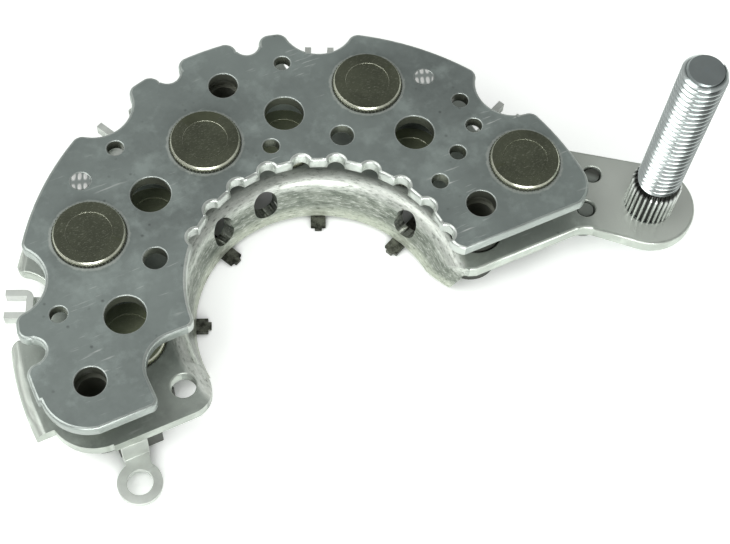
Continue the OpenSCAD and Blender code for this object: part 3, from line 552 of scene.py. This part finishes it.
carrier_plastic = resin_finish("carrier_plastic", (0.048, 0.053, 0.043), 0.55, 900)
tree = carrier_plastic.node_tree
shader = tree.nodes["Principled BSDF"]
PEGS = (42 * MM, -20 * MM)
by_pegs = span(tree, axis_radius(tree, coord_of(tree), PEGS), 9 * MM, 8 * MM, 0, 0.85)
tone = blend_colour(tree, by_pegs, colour_of(shader), (0.2, 0.225, 0.2))
tree.links.new(tone, shader.inputs["Base Color"])
carrier = from_node("terminal_moulding", "terminal_carrier")
carrier.data.materials.append(carrier_plastic)
roll_edges(carrier, 0.22 * MM, segments=2)
smooth(carrier)
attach(carrier, "root")
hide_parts("terminal_moulding")

# Strip terminals
# The phase terminals and the regulator terminal are tinned strip, cut and folded, with
# slightly rounded cut edges and a dull bloom on the tin.

TIN = ((0.68, 0.72, 0.67), 0.6, 0.38, (200, 1500, 200))
tinned = bright_finish("tinned_strip", *TIN)
phase_tin = bright_finish("phase_strip_tin", *TIN)

# Inside the collar the tin of the phase strips is painted dark and mottled, as painted shade
tree = phase_tin.node_tree
shader = tree.nodes["Principled BSDF"]
coord = coord_of(tree)
inner = span(tree, axis_radius(tree, coord, AXIS), 30 * MM, 28 * MM)
shade_mottle = span(tree, noise(tree, coord.outputs["Object"], 700, 4, 0.7), 0.4, 0.62)
painted_shade_tone = blend_colour(tree, shade_mottle, (0.045, 0.048, 0.036), (0.2, 0.21, 0.17))
tree.links.new(blend_colour(tree, inner, colour_of(shader), painted_shade_tone), shader.inputs["Base Color"])
for i in range(1, 5):
    clip = from_node("phase_terminal_%d" % i, "phase_strip_%d" % i)
    clip.data.materials.append(phase_tin)
    roll_edges(clip, 0.12 * MM, segments=2)
    smooth(clip)
    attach(clip, "root")
    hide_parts("phase_terminal_%d" % i)

ring_strip = from_node("regulator_terminal", "regulator_strip")
ring_strip.data.materials.append(tinned)
roll_edges(ring_strip, 0.16 * MM, segments=3)
smooth(ring_strip)
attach(ring_strip, "root")
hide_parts("regulator_terminal")

# Mounting sleeves
# Turned steel sleeves stand in the moulding and carry the load of the mounting bolts past the
# plastic. Their plating is yellowish.

sleeve_plate = bright_finish("sleeve_plating", (0.3, 0.315, 0.265), 0.5, 0.45, (300, 300, 1800))
for i in range(1, 4):
    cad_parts["mounting_sleeve_%d" % i].material_slots[0].material = sleeve_plate

# Output stud
# The output stud is a zinc-plated M8 screw, pressed through the tab from below. A collar of
# straight splines grips above the plate, and the thread runs from the collar to the end.

stud_lo, stud_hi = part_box("b_plus_stud")
FOOT_LOW, STUD_TOP = stud_lo[2], stud_hi[2]
FOOT_TOP = 8.0 * MM
FOOT_R, SEAT_R = 6.6 * MM, 4.2 * MM
COLLAR_TOP = 18.7 * MM
SPLINES = 28
RIDGE_R, VALLEY_R = 4.55 * MM, 4.12 * MM
SHOULDER, SHOULDER_SHARE = 0.9 * MM, 0.85
CREST, ROOT = 4.0 * MM, 3.3 * MM
PITCH = 1.25 * MM
END_R, RUN_OUT_R = 3.15 * MM, 3.75 * MM
SIDES = 64
STEPS = 40


def turned_body(name, profile):
    """A turned piece: a disc is extruded ring by ring along its profile of radius and height."""
    nothing_selected()
    r0, z0 = profile[0]
    bpy.ops.mesh.primitive_circle_add(vertices=SIDES, radius=r0, fill_type="NGON",
                                      location=(*STUD, z0))
    piece = bpy.context.object
    piece.name = name
    bpy.ops.object.transform_apply(location=True, rotation=True, scale=True)
    bpy.ops.object.mode_set(mode="EDIT")
    bpy.ops.mesh.select_all(action="SELECT")
    r_now, z_now = r0, z0
    for r, z in profile[1:]:
        bpy.ops.mesh.extrude_region_move(TRANSFORM_OT_translate={"value": (0, 0, z - z_now)})
        bpy.ops.transform.resize(value=(r / r_now, r / r_now, 1), center_override=(*STUD, z))
        r_now, z_now = r, z
    bpy.ops.mesh.select_all(action="SELECT")
    bpy.ops.mesh.normals_make_consistent(inside=False)
    bpy.ops.object.mode_set(mode="OBJECT")
    return piece


def zinc_finish(name, valley, ridge, valley_shade_tone, ridge_tone, rough):
    """Zinc plate, bright on the ridges and painted dark towards the valleys as painted shade."""
    made, tree, shader, coord = finish_of(name, ridge_tone, 0.92, rough)
    at = coord.outputs["Object"]
    cloud = noise(tree, at, 260, 4, 0.6)
    uneven = times(tree, maths(tree, "SUBTRACT", cloud, 0.5), 0.12 * MM)
    depth = maths(tree, "ADD", axis_radius(tree, coord, STUD), uneven)
    tone = blend_colour(tree, span(tree, cloud, 0.3, 0.7), shaded(ridge_tone, 0.86), ridge_tone)
    tone = blend_colour(tree, span(tree, depth, ridge, valley), tone, valley_shade_tone)
    tree.links.new(tone, shader.inputs["Base Color"])
    dull = span(tree, cloud, 0.3, 0.7, rough - 0.05, rough + 0.08)
    tree.links.new(dull, shader.inputs["Roughness"])
    bump(tree, shader, noise(tree, at, 1500, 2, 0.5), 0.08, 0.00003)
    return made


thread_zinc = zinc_finish("thread_zinc", ROOT, ROOT + 0.35 * MM,
                          (0.17, 0.2, 0.195), (0.71, 0.78, 0.76), 0.2)
spline_zinc = zinc_finish("spline_zinc", 4.14 * MM, 4.48 * MM,
                          (0.035, 0.038, 0.034), (0.72, 0.75, 0.72), 0.24)
end_zinc = zinc_finish("end_zinc", 0.5 * MM, 0.6 * MM,
                       (0.28, 0.32, 0.32), (0.3, 0.34, 0.335), 0.34)

foot = turned_body("stud_foot", [
    (FOOT_R - 0.7 * MM, FOOT_LOW), (FOOT_R, FOOT_LOW + 0.5 * MM), (FOOT_R, FOOT_TOP - 0.1 * MM),
    (FOOT_R - 0.1 * MM, FOOT_TOP), (SEAT_R, FOOT_TOP), (SEAT_R, PLATE_TOP)])
core = turned_body("stud_core", [
    (ROOT - 0.02 * MM, COLLAR_TOP - 1.0 * MM), (ROOT - 0.02 * MM, STUD_TOP - 0.4 * MM),
    (ROOT - 0.3 * MM, STUD_TOP)])

# Collar: of every four points round a disc two stand out as a spline, and the disc is drawn up
nothing_selected()
bpy.ops.mesh.primitive_circle_add(vertices=SPLINES * 4, radius=RIDGE_R, fill_type="NGON",
                                  location=(*STUD, PLATE_TOP))
collar = bpy.context.object
collar.name = "stud_collar"
bpy.ops.object.transform_apply(location=True, rotation=True, scale=True)
for k, v in enumerate(collar.data.vertices):
    offset = Vector((v.co.x - STUD[0], v.co.y - STUD[1], 0))
    ridge = (k % 4) in (1, 2)
    offset = offset.normalized() * (RIDGE_R if ridge else VALLEY_R)
    v.co.x, v.co.y = STUD[0] + offset.x, STUD[1] + offset.y
bpy.ops.object.mode_set(mode="EDIT")
bpy.ops.mesh.select_all(action="SELECT")
for rise in (COLLAR_TOP - PLATE_TOP - SHOULDER, SHOULDER):
    bpy.ops.mesh.extrude_region_move(TRANSFORM_OT_translate={"value": (0, 0, rise)})
bpy.ops.transform.resize(value=(SHOULDER_SHARE, SHOULDER_SHARE, 1),
                         center_override=(*STUD, COLLAR_TOP))
bpy.ops.mesh.select_all(action="SELECT")
bpy.ops.mesh.normals_make_consistent(inside=False)
bpy.ops.object.mode_set(mode="OBJECT")

# Thread: one profile of root, flank, crest and flank is screwed up the shank
nothing_selected()
bpy.ops.mesh.primitive_plane_add(size=PITCH, location=(*STUD, COLLAR_TOP - PITCH))
thread = bpy.context.object
thread.name = "stud_thread"
bpy.ops.object.transform_apply(location=True, rotation=True, scale=True)
z0 = COLLAR_TOP - PITCH
edge_r = CREST - 0.05 * MM
profile = [(ROOT, 0.0), (ROOT, 0.22), (edge_r, 0.53), (CREST, 0.58), (CREST, 0.66),
           (edge_r, 0.71), (ROOT, 1.0)]
shape = bmesh.new()
ends = [shape.verts.new((STUD[0] + r, STUD[1], z0 + t * PITCH)) for r, t in profile]
for a, b in zip(ends, ends[1:]):
    shape.edges.new((a, b))
shape.to_mesh(thread.data)
shape.free()
screw = thread.modifiers.new("screw", "SCREW")
screw.axis = "Z"
screw.angle = 2 * math.pi
screw.screw_offset = PITCH
screw.iterations = int((STUD_TOP - COLLAR_TOP) / PITCH) + 1
screw.steps = STEPS
screw.render_steps = STEPS
screw.use_merge_vertices = True
screw.merge_threshold = 1e-7
thread.data.transform(Matrix.Translation((-STUD[0], -STUD[1], 0)))
take(thread)
bpy.ops.object.modifier_apply(modifier="screw")
thread.data.transform(Matrix.Translation((STUD[0], STUD[1], 0)))
bpy.ops.object.mode_set(mode="EDIT")
bpy.ops.mesh.select_all(action="SELECT")
bpy.ops.mesh.remove_doubles(threshold=WELD)
bpy.ops.mesh.select_all(action="SELECT")
bpy.ops.mesh.bisect(plane_co=(0, 0, STUD_TOP - 0.02 * MM), plane_no=(0, 0, 1), clear_outer=True)
bpy.ops.mesh.select_all(action="SELECT")
bpy.ops.mesh.bisect(plane_co=(0, 0, COLLAR_TOP - 0.4 * MM), plane_no=(0, 0, 1), clear_inner=True)
bpy.ops.mesh.select_all(action="SELECT")
bpy.ops.mesh.normals_make_consistent(inside=False)
bpy.ops.object.mode_set(mode="OBJECT")

# The thread runs out at the collar and is chamfered at its end
for v in thread.data.vertices:
    offset = Vector((v.co.x - STUD[0], v.co.y - STUD[1], 0))
    end = END_R + STUD_TOP - v.co.z
    start = RUN_OUT_R + max(0, v.co.z - COLLAR_TOP) * 0.25
    limit = min(end, start, CREST)
    if offset.length > limit:
        offset = offset.normalized() * limit
        v.co.x, v.co.y = STUD[0] + offset.x, STUD[1] + offset.y

for piece, zinc in ((foot, thread_zinc), (core, end_zinc), (collar, spline_zinc),
                    (thread, thread_zinc)):
    piece.data.materials.clear()
    piece.data.materials.append(zinc)
    smooth(piece, 30)
    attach(piece, "root")
    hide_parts("b_plus_stud")

# Rivets
# Two aluminium rivets hold the upper plate and the moulding together and are staked flush
# into the plate. The punch leaves a bright cross-hatch on them.

hatch, tree, shader, coord = finish_of("staked_rivet", (0.8, 0.82, 0.79), 0.8, 0.3)
at = coord.outputs["Object"]
bands = []
for angle, strokes in ((20, 300), (110, 150)):
    wave = tree.nodes.new("ShaderNodeTexWave")
    wave.bands_direction = "X"
    wave.inputs["Scale"].default_value = strokes
    wave.inputs["Distortion"].default_value = 1.4
    tree.links.new(turned(tree, at, angle, (1, 1, 1)), wave.inputs["Vector"])
    bands.append(wave.outputs["Fac"])
grid = maths(tree, "MULTIPLY", bands[0], bands[1])
tone = blend_colour(tree, span(tree, grid, 0.05, 0.5), (0.34, 0.38, 0.36), (0.95, 0.97, 0.93))
tree.links.new(tone, shader.inputs["Base Color"])
bump(tree, shader, grid, 0.6, 0.0001)
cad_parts["plate_rivets"].material_slots[0].material = hatch

# Floor, light and camera
# The rectifier lies on a sheet of white paper under two soft lamps. The camera sees it from
# above and in front.

nothing_selected()
bpy.ops.mesh.primitive_plane_add(size=4, location=(0, 0, 0))
floor = bpy.context.object
floor.name = "paper_floor"
paper = bpy.data.materials.new("white_paper")
paper.use_nodes = True
tree = paper.node_tree
shader = tree.nodes["Principled BSDF"]
shader.inputs["Base Color"].default_value = (0.83, 0.87, 0.83, 1)
shader.inputs["Roughness"].default_value = 0.9
rays = tree.nodes.new("ShaderNodeLightPath")
glow = tree.nodes.new("ShaderNodeEmission")
glow.inputs["Color"].default_value = (1, 1, 1, 1)

# The white of the paper fades where the part closes over it, as painted shade, so that deep holes
# look dark
painted_shade_ao = tree.nodes.new("ShaderNodeAmbientOcclusion")
painted_shade_ao.inputs["Distance"].default_value = 10 * MM
tree.links.new(span(tree, painted_shade_ao.outputs["AO"], 0.22, 0.6, 0.0, 0.5), glow.inputs["Strength"])
add = tree.nodes.new("ShaderNodeAddShader")
pick = tree.nodes.new("ShaderNodeMixShader")
seen = maths(tree, "MAXIMUM", rays.outputs["Is Camera Ray"], rays.outputs["Is Glossy Ray"])
tree.links.new(shader.outputs["BSDF"], add.inputs[0])
tree.links.new(glow.outputs["Emission"], add.inputs[1])
tree.links.new(seen, pick.inputs["Fac"])
tree.links.new(shader.outputs["BSDF"], pick.inputs[1])
tree.links.new(add.outputs["Shader"], pick.inputs[2])
tree.links.new(pick.outputs["Shader"], tree.nodes["Material Output"].inputs["Surface"])
floor.data.materials.append(paper)

# The studio is even all round. One dark flag in front of it gives the bright thread its depth
world = bpy.data.worlds.new("studio_air")
bpy.context.scene.world = world
world.use_nodes = True
air = world.node_tree
air.nodes["Background"].inputs["Color"].default_value = (1, 1, 1, 1)
sky = air.nodes.new("ShaderNodeTexCoord")
flag = air.nodes.new("ShaderNodeVectorMath")
flag.operation = "DOT_PRODUCT"
flag.inputs[1].default_value = Vector((0.31, -0.55, 0.77)).normalized()
air.links.new(sky.outputs["Object"], flag.inputs[0])
strength = span(air, flag.outputs["Value"], 0.9, 0.97, 0.44, 0.03)
air.links.new(strength, air.nodes["Background"].inputs["Strength"])


def softbox(name, place, aim, size, watts):
    lamp = bpy.data.lights.new(name, "AREA")
    lamp.shape = "RECTANGLE"
    lamp.size, lamp.size_y = size
    lamp.energy = watts
    holder = bpy.data.objects.new(name, lamp)
    bpy.context.scene.collection.objects.link(holder)
    holder.location = place
    holder.rotation_euler = (Vector(aim) - Vector(place)).to_track_quat("-Z", "Y").to_euler()


softbox("front_softbox", (-0.20, -0.50, 0.28), (0, 0, 0.01), (0.45, 0.22), 2.3)
softbox("top_softbox", (-0.34, 0.06, 0.50), (0, 0, 0.01), (0.4, 0.4), 1.6)

camera = bpy.data.objects.new("photo_camera", bpy.data.cameras.new("photo_camera"))
bpy.context.scene.collection.objects.link(camera)
camera.data.sensor_fit = "HORIZONTAL"
camera.data.sensor_width = 36
camera.data.lens = 71.51
camera.data.clip_start = 0.01
right = Vector((0.89985, -0.43282, 0.05414))
up = Vector((0.35975, 0.80668, 0.46888))
back = Vector((-0.2466, -0.4024, 0.8816))
camera.matrix_world = Matrix.Translation((-0.0635, -0.11994, 0.2388)) @ Matrix((
    (right.x, up.x, back.x, 0), (right.y, up.y, back.y, 0), (right.z, up.z, back.z, 0), (0, 0, 0, 1)))
bpy.context.scene.camera = camera
bpy.context.scene.view_settings.view_transform = "Standard"

nothing_selected()
